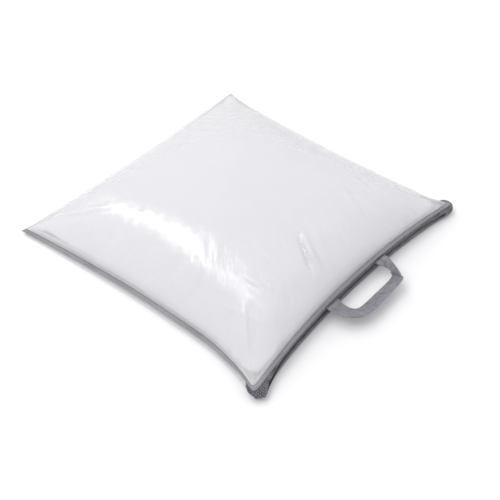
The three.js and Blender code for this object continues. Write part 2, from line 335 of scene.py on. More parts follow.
def addMesh(name, points, faces, uvs=None):
    mesh = bpy.data.meshes.new(name)
    mesh.from_pydata(np.asarray(points, float).reshape(-1, 3).tolist(), [], faces)
    if uvs is not None:
        layer = mesh.uv_layers.new(name="flat")
        flatPlaces = np.asarray(uvs, float).reshape(-1, 2)
        corners = np.empty(len(mesh.loops), int)
        mesh.loops.foreach_get("vertex_index", corners)
        layer.data.foreach_set("uv", flatPlaces[corners].ravel())
    obj = bpy.data.objects.new(name, mesh)
    scene.collection.objects.link(obj)
    return obj


# faces of a grid whose rows (and columns, if closed) are joined in order; flipped turns them over
def gridFaces(rows, columns, closedRows=False, closedColumns=False, flipped=False):
    faces = []
    for j in range(rows if closedRows else rows - 1):
        for i in range(columns if closedColumns else columns - 1):
            a, b = j * columns + i, j * columns + (i + 1) % columns
            c, d = ((j + 1) % rows) * columns + (i + 1) % columns, ((j + 1) % rows) * columns + i
            faces.append((a, d, c, b) if flipped else (a, b, c, d))
    return faces


def select(obj):
    bpy.ops.object.select_all(action="DESELECT")
    obj.select_set(True)
    bpy.context.view_layer.objects.active = obj


def applyModifier(obj, kind, **settings):
    select(obj)
    modifier = obj.modifiers.new(kind.lower(), kind)
    for name, value in settings.items():
        setattr(modifier, name, value)
    bpy.ops.object.modifier_apply(modifier=modifier.name)


def faceOutwards(obj, merge=0.0):
    select(obj)
    bpy.ops.object.mode_set(mode="EDIT")
    bpy.ops.mesh.select_all(action="SELECT")
    if merge:
        bpy.ops.mesh.remove_doubles(threshold=merge)
    bpy.ops.mesh.normals_make_consistent(inside=False)
    bpy.ops.object.mode_set(mode="OBJECT")


def shadeSmooth(obj, angle=50.0):
    select(obj)
    bpy.ops.object.shade_smooth_by_angle(angle=math.radians(angle))


def finishPiece(obj, material, slot, body, *nodes):
    obj.data.materials.clear()
    obj.data.materials.append(material)
    if nodes:
        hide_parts(*nodes)
    if body:
        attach(obj, body)
    return obj


# pieces of the solid model that stay as they are get a material only
def coverNodes(material, *names):
    for name in names:
        for place in bpy.data.objects[name].material_slots:
            place.material = material


# Creases of the film: each is a ridge from one place to another, with a width and a height.
# Puckers start at a seam and run inwards; the shoulder folds lie along the two ends of the pillow.
crease = {
    "seed": 41,
    "puckersPerSide": 34,
    "puckerLength": (0.020, 0.080),
    "puckerWidth": (0.0030, 0.0070),
    "puckerHeight": (0.0001, 0.0010),
    "longFolds": 34,            # from the zip wall up over the front of the pillow
    "longFoldLength": (0.05, 0.11),
    "longFoldHeight": (0.0004, 0.0014),
    "shoulderFolds": 70,
    "shoulderLength": (0.025, 0.080),
    "shoulderHeight": 0.0006,
    "crumpleHeight": 0.00016,
    "waveHeight": 0.0022,
}


# short puckers, which only the film has, and folds, which show in the pillow as well
def filmCreases():
    dice = random.Random(crease["seed"])
    rows, folds = [], []

    def between(pair):
        return dice.uniform(*pair)

    for side in range(4):
        for k in range(crease["puckersPerSide"]):
            along = -0.97 + 1.94 * (k + dice.uniform(-0.35, 0.35)) / (crease["puckersPerSide"] - 1)
            s, t = [(along, -0.999), (0.999, along), (along, 0.999), (-0.999, along)][side]
            x, y = planPoint(np.float64(s), np.float64(t), 0.012)
            inwards = Vector(((0, 1), (-1, 0), (0, -1), (1, 0))[side])
            fan = 0.5 * along * (1 if side in (1, 2) else -1)
            lean = Vector((-inwards.y, inwards.x)) * (dice.uniform(-0.35, 0.35) - fan)
            direction = (inwards + lean).normalized()
            reach = between(crease["puckerLength"])
            start = Vector((float(x), float(y))) - direction * 0.25 * reach
            rows.append((start, start + direction * reach * 1.25, between(crease["puckerWidth"]),
                         between(crease["puckerHeight"])))
    for k in range(crease["longFolds"]):
        x = -0.20 + 0.46 * k / (crease["longFolds"] - 1) + dice.uniform(-0.008, 0.008)
        reach = between(crease["longFoldLength"])
        start = Vector((x, -0.262 + dice.uniform(0, 0.06)))
        direction = Vector((dice.uniform(-0.25, 0.6), 1)).normalized()
        folds.append((start, start + direction * reach, dice.uniform(0.0025, 0.006),
                      between(crease["longFoldHeight"])))
    for k in range(crease["shoulderFolds"]):
        side = -1 if k % 3 else 1
        y = dice.uniform(-0.24, 0.25)
        x = side * (0.172 + 0.012 * math.sin(9 * y) + dice.uniform(-0.030, 0.030))
        turn = math.radians(lerp(46, 4, (y + 0.2) / 0.4) + dice.uniform(-12, 12))
        direction = Vector((math.cos(turn), math.sin(turn) * -side))
        reach = between(crease["shoulderLength"])
        middle = Vector((x, y))
        rows.append((middle - direction * reach / 2, middle + direction * reach / 2,
                     dice.uniform(0.0035, 0.006), dice.uniform(-0.4, 1) * crease["shoulderHeight"]))
    # the deep fold in front of the middle and the two that run out to the front corners
    folds += [
        (Vector((-0.018, -0.158)), Vector((-0.072, -0.238)), 0.0036, -0.0052),
        (Vector((-0.006, -0.158)), Vector((-0.058, -0.246)), 0.0050, 0.0026),
        (Vector((-0.195, -0.180)), Vector((-0.272, -0.262)), 0.0060, 0.0028),
        (Vector((-0.215, -0.165)), Vector((-0.280, -0.235)), 0.0050, -0.0020),
        (Vector((0.150, -0.120)), Vector((0.085, -0.262)), 0.0055, 0.0016),
        (Vector((0.180, -0.140)), Vector((0.262, -0.262)), 0.0070, 0.0022),
        (Vector((-0.180, 0.170)), Vector((-0.275, 0.275)), 0.0070, 0.0020),
        (Vector((0.190, 0.185)), Vector((0.275, 0.275)), 0.0070, 0.0020),
    ]
    return rows, folds


def creaseLift(x, y, rows):
    lift = np.zeros_like(x)
    for start, end, width, height in rows:
        run = end - start
        length = run.length
        ux, uy = run.x / length, run.y / length
        along = ((x - start.x) * ux + (y - start.y) * uy) / length
        across = (x - start.x) * -uy + (y - start.y) * ux
        inside = (along > 0) & (along < 1) & (np.abs(across) < 5 * width)
        if not inside.any():
            continue
        k, d = along[inside], across[inside] / width
        taper = np.sin(np.pi * k) ** 0.8
        # sharper on one side than on the other, with a shallow trough beyond
        ridge = np.exp(-np.where(d > 0, (d / 0.75) ** 2, (d / 1.25) ** 2))
        trough = 0.35 * np.exp(-((d - 1.9) / 1.3) ** 2)
        lift[inside] += height * taper * (ridge - trough)
    return lift


def noiseAt(x, y, scale, seed):
    flat = [noise.noise(Vector((a * scale, b * scale, seed))) for a, b in zip(x.ravel(), y.ravel())]
    return np.array(flat).reshape(x.shape)


def filmLift(s, t, x, y, rows):
    inner = smooth(0, 0.16, 1 - np.maximum(np.abs(s), np.abs(t)))
    waves = crease["waveHeight"] * noiseAt(x, y, 11.0, 3.7)
    crumple = crease["crumpleHeight"] * (noiseAt(x, y + 0.4 * x, 62.0, 9.1) + 0.6 * noiseAt(x, y, 130.0, 5.3))
    shoulder = np.exp(-((np.abs(x) - 0.175) / 0.055) ** 2)
    edge = smooth(0, 0.03, 1 - np.maximum(np.abs(s), np.abs(t)))
    return inner * (waves + crumple * (0.35 + shoulder)) + edge * creaseLift(x, y, rows)


film = {
    "grid": 190,
    "thickness": 0.00022,
    "tuck": 0.0015,          # how far the panels reach into the folded tapes
    "alpha": 0.34,
    "creaseSize": (0.030, 0.0040, 0.05),    # length and width of the fine creases
    "creaseHeight": 0.0012,
    "creaseStrength": (0.30, 0.62),          # far from the ends of the pillow, and on them
    "shoulder": 0.170,
    "turn": 41.0,
    "turnFrom": 0.08,
    "turnTo": -0.12,
    "color": (0.86, 0.86, 0.885),
    "roughness": (0.07, 0.15),
}


def filmMaterial():
    material, tree, shader = newMaterial("clearFilm", {
        "Alpha": film["alpha"], "IOR": 1.5, "Specular IOR Level": 0.9,
        "Coat Weight": 0.25, "Coat Roughness": 0.06,
    })
    place = objectPlace(tree)
    haze = noiseOf(tree, place, 14.0, 4.0)
    rough = mapped(tree, haze, {"To Min": film["roughness"][0], "To Max": film["roughness"][1]})
    tint = twoTone(tree, haze, dimmed(film["color"], 0.97), film["color"])
    # fine creases drawn out along the ends of the pillow; they turn towards the front left corner
    apart = addNode(tree, "ShaderNodeSeparateXYZ", {"Vector": place})
    turning = mapped(tree, apart.outputs["Y"], {"From Min": film["turnFrom"], "From Max": film["turnTo"]})
    heights = []
    for turn in (0.0, film["turn"]):
        drawn = addNode(tree, "ShaderNodeMapping", {"Vector": place}, vector_type="TEXTURE")
        drawn.inputs["Rotation"].default_value = (0, 0, math.radians(turn))
        drawn.inputs["Scale"].default_value = film["creaseSize"]
        drawnOut = {"Roughness": 0.5, "Distortion": 0.3}
        heights.append(noiseOf(tree, drawn.outputs["Vector"], 1.0, 3.0, drawnOut))
    height = addNode(tree, "ShaderNodeMix", {0: turning, 2: heights[0], 3: heights[1]}).outputs["Result"]
    fromMiddle = mathOf(tree, "ABSOLUTE", apart.outputs["X"])
    offShoulder = mathOf(tree, "ABSOLUTE", mathOf(tree, "SUBTRACT", fromMiddle, film["shoulder"]))
    strength = mapped(tree, offShoulder, {
        "From Min": 0.02, "From Max": 0.08,
        "To Min": film["creaseStrength"][1], "To Max": film["creaseStrength"][0],
    })
    fine = bumpOf(tree, height, strength, film["creaseHeight"])
    connect(tree, shader, {"Roughness": rough, "Base Color": tint, "Normal": fine})
    return material


def filmPanel(name, heightAt, foot, rows, side):
    u, v = gridPoints(film["grid"], film["grid"])
    s, t = spread(u), spread(v)
    x, y = planPoint(s, t, bag["bindingWidth"] - film["tuck"], foot)
    z = heightAt(s, t)
    if rows is not None:
        z = z + filmLift(s, t, x, y, rows)
    points = np.stack([x, y, z], -1)
    obj = addMesh(name, points, gridFaces(*u.shape, flipped=side < 0), np.stack([x, y], -1))
    applyModifier(obj, "SOLIDIFY", thickness=film["thickness"], offset=-1.0)
    shadeSmooth(obj, 60)
    return obj, points


print("film panels")
puckerRows, foldRows = filmCreases()
clearFilm = filmMaterial()
filmTop, filmTopPoints = filmPanel("film_top_panel", topZ, 0.0, puckerRows + foldRows, 1)
filmBottom, filmBottomPoints = filmPanel("film_bottom_panel", baseZ, 1.0, None, -1)
finishPiece(filmTop, clearFilm, "film", "bag", "film_top")
finishPiece(filmBottom, clearFilm, "film", "bag", "film_bottom")

pillow = {
    "voxel": 0.006,
    "shrink": 0.90,           # share of the full thickness that the simulation starts from
    "pressure": 4.0,
    "frames": 20,
    "cap": 0.010,
    "rimSlope": 0.6,          # faces steeper than this belong to the seam and stay where they are
    "clearance": 0.0011,      # from the film, everywhere
    "lump": 0.0022,
    "foldShare": 0.9,         # how much of the film's folds shows in the casing
    "outset": 0.006,         # the plump casing reaches this much further out than a flat one
    "color": (0.79, 0.79, 0.80),
    "weave": 620.0,
}


def pillowMiddle(s, t):
    a, b = s * pillowScale, t * pillowScale
    return (topZ(a, b) + baseZ(a, b)) / 2


def pillowHeight(s, t, side, depth, parting=0.0022):
    a, b = s * pillowScale, t * pillowScale
    face = topZ(a, b) if side > 0 else baseZ(a, b)
    reach = 1 - (1 - bulge(s) * bulge(t)) ** bag["pillowFullness"]
    edge = pillowMiddle(s, t) + side * parting
    return lerp(edge, face - side * (0.0018 + depth), reach)


# a closed shell of two panels that share their edge row, for the casing and for its core
def twoPanels(name, steps, inset, depth, start=0.0, parting=0.0022):
    u, v = gridPoints(steps, steps)
    s, t = spread(lerp(start, 1 - start, u)), spread(lerp(start, 1 - start, v))
    x, y = planPoint(s, t, bag["bindingWidth"] + bag["pillowInset"] - pillow["outset"] + inset)
    top = np.stack([x, y, pillowHeight(s, t, 1, depth, parting)], -1)
    low = np.stack([x, y, pillowHeight(s, t, -1, depth, parting)], -1)
    rim = (u == 0) | (u == 1) | (v == 0) | (v == 1)
    middle = (top + low) / 2
    top[rim] = middle[rim]
    low[rim] = middle[rim]
    size = u.size
    faces = gridFaces(*u.shape)
    faces += [tuple(c + size for c in reversed(f)) for f in gridFaces(*u.shape)]
    obj = addMesh(name, np.concatenate([top.reshape(-1, 3), low.reshape(-1, 3)]), faces)
    faceOutwards(obj, 1e-6)
    return obj


def meshArray(obj):
    flat = np.empty(3 * len(obj.data.vertices))
    obj.data.vertices.foreach_get("co", flat)
    return flat.reshape(-1, 3)


def setMeshArray(obj, points):
    obj.data.vertices.foreach_set("co", np.ascontiguousarray(points, float).ravel())
    obj.data.update()


def surfaceTree(points):
    rows, columns = points.shape[:2]
    return BVHTree.FromPolygons(points.reshape(-1, 3).tolist(), gridFaces(rows, columns))


# keeps every point of a soft piece between the two films
def betweenFilms(points, clearance):
    over, under = surfaceTree(filmTopPoints), surfaceTree(filmBottomPoints)
    held = points.copy()
    for k, (x, y, z) in enumerate(points):
        above = over.ray_cast(Vector((x, y, 1.0)), Vector((0, 0, -1)))[0]
        below = under.ray_cast(Vector((x, y, -1.0)), Vector((0, 0, 1)))[0]
        if above is not None:
            z = min(z, above.z - clearance)
        if below is not None:
            z = max(z, below.z + clearance)
        held[k, 2] = z
    return held


def inflate(obj):
    start = meshArray(obj)
    normals = np.empty(3 * len(start))
    obj.data.vertex_normals.foreach_get("vector", normals)
    group = obj.vertex_groups.new(name="seam")
    rim = np.flatnonzero(np.abs(normals.reshape(-1, 3)[:, 2]) < pillow["rimSlope"])
    group.add([int(k) for k in rim], 1.0, "ADD")
    select(obj)
    cloth = obj.modifiers.new("cloth", "CLOTH")
    cloth.settings.vertex_group_mass = "seam"
    cloth.settings.quality = 4
    cloth.settings.mass = 0.2
    cloth.settings.tension_stiffness = 12
    cloth.settings.compression_stiffness = 12
    cloth.settings.bending_stiffness = 0.3
    cloth.settings.use_pressure = True
    cloth.settings.uniform_pressure_force = pillow["pressure"]
    cloth.settings.shrink_min = -0.03
    cloth.settings.effector_weights.gravity = 0
    cloth.collision_settings.use_collision = False
    cloth.point_cache.frame_start = 1
    cloth.point_cache.frame_end = pillow["frames"]
    for step in range(1, pillow["frames"] + 1):
        scene.frame_set(step)
    bpy.ops.object.modifier_apply(modifier=cloth.name)
    scene.frame_set(1)
    moved = meshArray(obj) - start
    length = np.linalg.norm(moved, axis=1, keepdims=True)
    moved *= np.minimum(1, pillow["cap"] / np.maximum(length, 1e-9))
    setMeshArray(obj, start + moved)


def pillowCasing():
    obj = twoPanels("pillow_casing", 110, 0.0, 0.0)
    points = meshArray(obj)
    points[:, 2] = lerp(0.045, points[:, 2], pillow["shrink"])
    setMeshArray(obj, betweenFilms(points, pillow["clearance"]))
    applyModifier(obj, "REMESH", mode="VOXEL", voxel_size=pillow["voxel"])
    inflate(obj)
    applyModifier(obj, "SUBSURF", levels=1, render_levels=1)
    points = meshArray(obj)
    x, y = points[:, 0], points[:, 1]
    lumps = noiseAt(x, y, 17.0, 1.3) + 0.5 * noiseAt(x, y, 38.0, 6.1)
    drawnIn = pillow["foldShare"] * creaseLift(x, y, foldRows)
    points[:, 2] += smooth(0.025, 0.045, points[:, 2]) * (pillow["lump"] * (lumps - 0.4) + drawnIn)
    setMeshArray(obj, betweenFilms(points, pillow["clearance"]))
    shadeSmooth(obj, 180)
    return obj


def tickingMaterial():
    material, tree, shader = newMaterial("whiteTicking", {
        "Roughness": 0.82, "Specular IOR Level": 0.25, "Sheen Weight": 0.12, "Sheen Roughness": 0.5,
    })
    place = objectPlace(tree)
    broad = noiseOf(tree, place, 6.0, 3.0)
    tone = twoTone(tree, broad, dimmed(pillow["color"], 0.97), pillow["color"], 0.3, 0.7)
    warp = waveOf(tree, place, pillow["weave"], "X")
    weft = waveOf(tree, place, pillow["weave"], "Y")
    thread = bumpOf(tree, mathOf(tree, "MAXIMUM", warp, weft), 0.18, 0.0003)
    soft = bumpOf(tree, noiseOf(tree, place, 55.0, 4.0), 0.12, 0.004, thread)
    connect(tree, shader, {"Base Color": tone, "Normal": soft})
    return material


print("pillow")
whiteTicking = tickingMaterial()
casing = pillowCasing()
finishPiece(casing, whiteTicking, "ticking", "bag", "ticking_top", "ticking_bottom")

# the seam of the casing: turned-in edges that run all round like a thin cord
seamCord = {"radius": 0.0015, "gap": 0.001, "steps": 360, "sides": 10, "pucker": 0.0004}


# square coordinates of a point on the edge, for a share of a full turn that starts at the right front corner
def squareEdge(turn):
    sides = 4 * (turn % 1)
    along = float(spread(sides % 1))
    return [(1, along), (-along, 1), (-1, -along), (along, -1)][int(sides)]


def edgeArrays(turns):
    pairs = np.array([squareEdge(turn) for turn in turns], float)
    return pairs[:, 0], pairs[:, 1]


# a tube or band: rings of points, each ring closed; it runs round or is capped at both ends
def bandMesh(name, rings, uvs=None, closed=False):
    count, around = rings.shape[:2]
    faces = gridFaces(count, around, closedRows=closed, closedColumns=True)
    if not closed:
        faces.append(tuple(range(around)))
        faces.append(tuple(reversed(range((count - 1) * around, count * around))))
    obj = addMesh(name, rings, faces, uvs)
    faceOutwards(obj)
    return obj


def pillowSeamCord():
    turns = np.arange(seamCord["steps"]) / seamCord["steps"]
    s, t = edgeArrays(turns)
    angle = np.linspace(0, 2 * np.pi, seamCord["sides"], endpoint=False)
    dice = random.Random(5)
    pucker = np.array([dice.uniform(-1, 1) for _ in turns]) * seamCord["pucker"]
    rings = np.empty((len(turns), len(angle), 3))
    for k, a in enumerate(angle):
        outwards = seamCord["radius"] * math.cos(a)
        inset = bag["bindingWidth"] + bag["pillowInset"] - seamCord["radius"] - seamCord["gap"] - outwards
        inset -= pillow["outset"] / 2
        x, y = planPoint(s, t, inset + 0.4 * pucker)
        rings[:, k] = np.stack([x, y, pillowMiddle(s, t) + seamCord["radius"] * math.sin(a) + pucker], -1)
    obj = bandMesh("pillow_seam", rings, closed=True)
    shadeSmooth(obj, 180)
    return obj


fibre = {"steps": 70, "inset": 0.012, "depth": 0.006, "lump": 0.0045, "color": (0.9, 0.9, 0.9)}


# the fill itself, a lumpy block that lies inside the casing
def fibreCore():
    obj = twoPanels("fibre_core", fibre["steps"], fibre["inset"], fibre["depth"], 0.02, 0.0008)
    points = meshArray(obj)
    x, y = points[:, 0], points[:, 1]
    lumps = noiseAt(x, y, 30.0, 8.8) + 0.6 * noiseAt(x, y, 75.0, 2.2)
    side = np.sign(points[:, 2] - points[:, 2].mean())
    points[:, 2] += side * fibre["lump"] * (lumps * 0.5 - 0.5)
    setMeshArray(obj, betweenFilms(points, 0.006))
    shadeSmooth(obj, 180)
    return obj


def fibreMaterial():
    material, tree, shader = newMaterial("fibreFill", {"Roughness": 1.0, "Sheen Weight": 0.3})
    strands = noiseOf(tree, objectPlace(tree), 240.0, 6.0, {"Distortion": 2.5})
    tone = twoTone(tree, strands, dimmed(fibre["color"], 0.85), fibre["color"])
    connect(tree, shader, {"Base Color": tone, "Normal": bumpOf(tree, strands, 0.7, 0.002)})
    return material


careLabel = {
    "width": 0.032, "reach": 0.0045, "droop": 0.0015, "place": 0.4, "thickness": 0.0007,
    "color": (0.84, 0.84, 0.85),
}


# a blank folded satin tab, sewn into the casing's seam
def pillowLabel():
    u, v = gridPoints(10, 24)
    t = careLabel["place"] + careLabel["width"] / bag["half"] * (v - 0.5)
    s = np.ones_like(t)
    inset = bag["bindingWidth"] + bag["pillowInset"] - 2 * seamCord["radius"] - seamCord["gap"] - 0.0004
    x, y = planPoint(s, t, inset - careLabel["reach"] * u)
    curl = 0.0006 * np.sin(np.pi * v * 2) * u
    z = pillowMiddle(s, t) - careLabel["droop"] * u + curl
    obj = addMesh("care_label_tab", np.stack([x, y, z], -1), gridFaces(*u.shape),
                  np.stack([careLabel["reach"] * u, careLabel["width"] * v], -1))
    applyModifier(obj, "SOLIDIFY", thickness=careLabel["thickness"], offset=0.0)
    applyModifier(obj, "BEVEL", width=0.0002, segments=2, limit_method="ANGLE")
    shadeSmooth(obj)
    return obj


waveSpacing = math.tau / 20     # a wave texture of scale 1 repeats in this length


# woven cloth on a piece's own flat map: threads of this spacing across and along, in metres
def wovenMaterial(name, colors, across, along, rise, roughness, diagonal=False, mottle=18.0):
    material, tree, shader = newMaterial(name, {
        "Roughness": roughness, "Specular IOR Level": 0.3, "Sheen Weight": 0.2, "Sheen Roughness": 0.45,
    })
    flat = addNode(tree, "ShaderNodeTexCoord").outputs["UV"]
    turned = addNode(tree, "ShaderNodeMapping", {"Vector": flat})
    turned.inputs["Rotation"].default_value = (0, 0, math.radians(38 if diagonal else 0))
    ribs = waveOf(tree, turned.outputs["Vector"], waveSpacing / across, "X")
    threads = waveOf(tree, turned.outputs["Vector"], waveSpacing / along, "Y")
    relief = mathOf(tree, "MULTIPLY" if diagonal else "MAXIMUM", ribs, threads)
    blotch = noiseOf(tree, objectPlace(tree), mottle, 4.0)
    mixed = mathOf(tree, "ADD", mapped(tree, relief, {"To Min": 0.0, "To Max": 0.65}), blotch)
    tone = twoTone(tree, mixed, *colors, 0.25, 1.0)
    connect(tree, shader, {"Base Color": tone, "Normal": bumpOf(tree, relief, 0.6, rise)})
    return material


print("pillow seam, label and fill")
satin = wovenMaterial("satinLabel", ((0.74, 0.74, 0.76), careLabel["color"]), 0.0004, 0.0006, 0.0001, 0.4)
finishPiece(pillowSeamCord(), whiteTicking, "ticking", "bag", "ticking_seam")
finishPiece(pillowLabel(), satin, "label", "bag", "care_label")
core = finishPiece(fibreCore(), fibreMaterial(), "fibre", "bag", "fibre_fill")

# the folded tapes: outline of their section in millimetres, as inset from the outer fold and height over the
# middle
tape = {
    "outline": [
        (8.0, 0.3), (7.85, 0.9), (7.2, 1.08), (6.5, 1.08), (6.0, 0.8), (5.5, 1.1), (3.8, 1.25), (2.4, 1.15),
        (1.9, 0.9), (1.4, 1.05), (0.75, 0.9), (0.25, 0.5), (0.0, 0.0), (0.25, -0.5), (0.75, -0.95),
        (1.9, -1.2), (3.8, -1.25), (5.5, -1.1), (6.0, -0.82), (6.5, -1.08), (7.2, -1.08), (7.85, -0.9),
        (8.0, -0.3),
    ],
    "sideSteps": 130,
    "ripple": 0.0005,
    "stitchInset": 0.0060,
    "frontStitchInset": 0.0019,
    "light": (0.33, 0.33, 0.36),
    "dark": (0.10, 0.10, 0.12),
}
stitch = {"length": 0.0028, "pitch": 0.0036, "radius": 0.0003, "color": (0.10, 0.10, 0.11)}


# 1 along the zip wall, 0 along the plain seams
def wallShare(t):
    return smooth(tipT + 0.16, tipT, t)


def seamDroop(t, inset):
    return bag["bindingDroop"] * (1 - wallShare(t)) * (1 - inset / bag["bindingWidth"])


def rippleAt(x, y, seed):
    return tape["ripple"] * (noiseAt(x, y, 34.0, seed) + 0.5 * noiseAt(x, y, 110.0, seed + 4))


def arcLengths(x, y):
    return np.concatenate([[0], np.cumsum(np.hypot(np.diff(x), np.diff(y)))])


def tapeBand(name, s, t, heightAt, foot, seed, closed):
    outline = np.array(tape["outline"]) * 0.001
    rings = np.empty((len(s), len(outline), 3))
    baseX, baseY = planPoint(s, t, 0.5 * bag["bindingWidth"], foot)
    ripple = rippleAt(baseX, baseY, seed)
    for k, (inset, rise) in enumerate(outline):
        x, y = planPoint(s, t, inset - 0.5 * ripple, foot)
        rings[:, k] = np.stack([x, y, heightAt(s, t, inset) + rise + ripple], -1)
    run = arcLengths(baseX, baseY)
    girth = np.concatenate([[0], np.cumsum(np.hypot(*np.diff(outline, axis=0).T))])
    uvs = np.stack(np.meshgrid(girth, run), -1)
    obj = bandMesh(name, rings, uvs, closed=closed)
    shadeSmooth(obj, 70)
    return obj


def ringHeight(s, t, inset):
    return upperZ(s, t) - seamDroop(t, inset)


def footHeight(s, t, inset):
    return lowerZ(s, t) - seamDroop(t, inset) - 0.0024 * (1 - smooth(0.0, 0.5, nearWall(s, t)))


# the zip wall runs from a tip on the left seam round the front corner and along the front to the right seam
def wallCoordinates(u):
    turn = 0.14
    sides = np.where(u < 0.5, -1.0, 1.0)
    k = np.minimum(u, 1 - u) / turn
    front = spread(np.clip((u - turn) / (1 - 2 * turn), 0, 1))
    onSide = k < 1
    return np.where(onSide, sides, front), np.where(onSide, lerp(tipT, -1, k), -1.0)


def stitchUnit():
    bpy.ops.object.select_all(action="DESELECT")
    bpy.ops.mesh.primitive_cylinder_add(vertices=6, radius=stitch["radius"], depth=stitch["length"],
                                        rotation=(0, math.pi / 2, 0))
    unit = bpy.context.active_object
    bpy.ops.object.transform_apply(location=False, rotation=True, scale=False)
    bpy.ops.object.mode_set(mode="EDIT")
    bpy.ops.mesh.select_all(action="SELECT")
    bpy.ops.mesh.bevel(offset=stitch["radius"] * 0.5, segments=1, affect="EDGES")
    bpy.ops.object.mode_set(mode="OBJECT")
    return unit


# one mesh of many copies of a unit; each place is an origin with three directions
def copiesOf(name, unit, places):
    corners = meshArray(unit)
    shapes = [tuple(p.vertices) for p in unit.data.polygons]
    points, faces = [], []
    for k, (origin, ex, ey, ez) in enumerate(places):
        points.append(corners @ np.array([ex, ey, ez]) + np.array(origin))
        faces += [tuple(c + k * len(corners) for c in shape) for shape in shapes]
    obj = addMesh(name, np.concatenate(points), faces)
    shadeSmooth(obj, 60)
    return obj


# places for stitches along a line of points whose upward directions are given
def placesAlong(line, upward, pitch, start=0.0):
    steps = np.linalg.norm(np.diff(line, axis=0), axis=1)
    run = np.concatenate([[0], np.cumsum(steps)])
    at = np.arange(start + pitch / 2, run[-1], pitch)
    origin = np.stack([np.interp(at, run, line[:, k]) for k in range(3)], -1)
    up = np.stack([np.interp(at, run, upward[:, k]) for k in range(3)], -1)
    ahead = np.stack([np.interp(at + 0.0005, run, line[:, k]) for k in range(3)], -1) - origin
    places = []
    for o, e, n in zip(origin, ahead, up):
        length = np.linalg.norm(e)
        if length < 1e-6:
            continue
        e = e / length
        side = np.cross(n, e)
        side /= np.linalg.norm(side)
        places.append((o, e, side, np.cross(e, side)))
    return places


def tapeStitches(s, t, heightAt, foot, seed, inset, side):
    x, y = planPoint(s, t, inset, foot)
    middleX, middleY = planPoint(s, t, 0.5 * bag["bindingWidth"], foot)
    z = heightAt(s, t, inset) + side * 0.00098 + rippleAt(middleX, middleY, seed)
    line = np.stack([x, y, z], -1)
    outerX, outerY = planPoint(s, t, 0.0, foot)
    outer = np.stack([outerX, outerY, heightAt(s, t, 0.0)], -1)
    slope = np.stack([x, y, heightAt(s, t, inset)], -1) - outer
    ahead = np.gradient(line, axis=0)
    upward = np.cross(ahead, slope)
    upward *= np.sign(upward[:, 2:3] + 1e-12)
    upward /= np.maximum(np.linalg.norm(upward, axis=1, keepdims=True), 1e-12)
    return placesAlong(line, upward, stitch["pitch"])


def threadMaterial():
    material, tree, shader = newMaterial("sewingThread", {"Roughness": 0.6, "Specular IOR Level": 0.35})
    twist = noiseOf(tree, objectPlace(tree), 900.0, 2.0)
    tone = twoTone(tree, twist, dimmed(stitch["color"], 0.6), dimmed(stitch["color"], 1.5))
    connect(tree, shader, {"Base Color": tone, "Normal": bumpOf(tree, twist, 0.5, 0.0002)})
    return material


print("tapes and their stitches")
greyTape = wovenMaterial("greyTape", (tape["dark"], tape["light"]), 0.0011, 0.0007, 0.0003, 0.78)
thread = threadMaterial()
ringTurns = np.arange(4 * tape["sideSteps"]) / (4 * tape["sideSteps"])
ringS, ringT = edgeArrays(ringTurns)
seamRing = tapeBand("binding_ring", ringS, ringT, ringHeight, 0.0, 2.0, True)
finishPiece(seamRing, greyTape, "tape", "bag",
            "binding_left", "binding_right", "binding_back", "binding_front_upper")
wallU = np.linspace(0.012, 0.988, 420)
wallS, wallT = wallCoordinates(wallU)
footTape = tapeBand("binding_foot", wallS, wallT, footHeight, 1.0, 6.0, False)
finishPiece(footTape, greyTape, "tape", "bag", "binding_front_lower")
oneStitch = stitchUnit()
seamLines = [
    (ringS, ringT, ringHeight, 0.0, 2.0, tape["stitchInset"], 1),
    (ringS, ringT, ringHeight, 0.0, 2.0, tape["stitchInset"], -1),
    (wallS, wallT, ringHeight, 0.0, 2.0, tape["frontStitchInset"], 1),
    (wallS, wallT, footHeight, 1.0, 6.0, tape["stitchInset"], 1),
    (wallS, wallT, footHeight, 1.0, 6.0, tape["frontStitchInset"], 1),
]
rows = [place for line in seamLines for place in tapeStitches(*line)]
finishPiece(copiesOf("seam_stitches", oneStitch, rows), thread, "thread", "bag")

gusset = {
    "thickness": 0.0007,
    "slit": 0.0044,          # half the height that is left open for the zip
    "hem": 0.0011,           # the folded edge along the zip
    "columns": 420,
    "rows": 16,
    "billow": 0.0016,
    "pucker": 0.0007,
    "ears": {-1: (0.008, 0.0150), 1: (0.0145, 0.008)},  # sideways and forwards, left and right corner
    "earLength": 0.045,
    "light": (0.23, 0.23, 0.25),
    "dark": (0.012, 0.012, 0.02),
}


def zipLine(s, t):
    low, high = lowerZ(s, t), upperZ(s, t)
    return np.minimum(bag["zipHeight"], lerp(low, high, 0.62))


# loose cloth gathers round the two front corners: how far it stands out sideways and forwards
def earReach(x, y, height, level):
    side = np.where(x < 0, gusset["ears"][-1][0], gusset["ears"][1][0]) * np.sign(x)
    front = np.where(x < 0, gusset["ears"][-1][1], gusset["ears"][1][1])
    full = np.sin(np.pi * level) ** 0.7 * smooth(0, 0.008, height)
    onSide = smooth(-0.262, -0.279, y) * lerp(0.55, 1, smooth(-0.2970, -0.2860, y))
    onSide = onSide * smooth(0.280, 0.299, np.abs(x))
    onFront = np.exp(-np.maximum(0, 0.290 - np.abs(x)) / gusset["earLength"]) * smooth(-0.285, -0.294, y)
    onFront = onFront * lerp(1, 0.55, smooth(0.2880, 0.2990, np.abs(x))) * smooth(0.19, 0.23, np.abs(x))
    return side * full * onSide, front * full * onFront


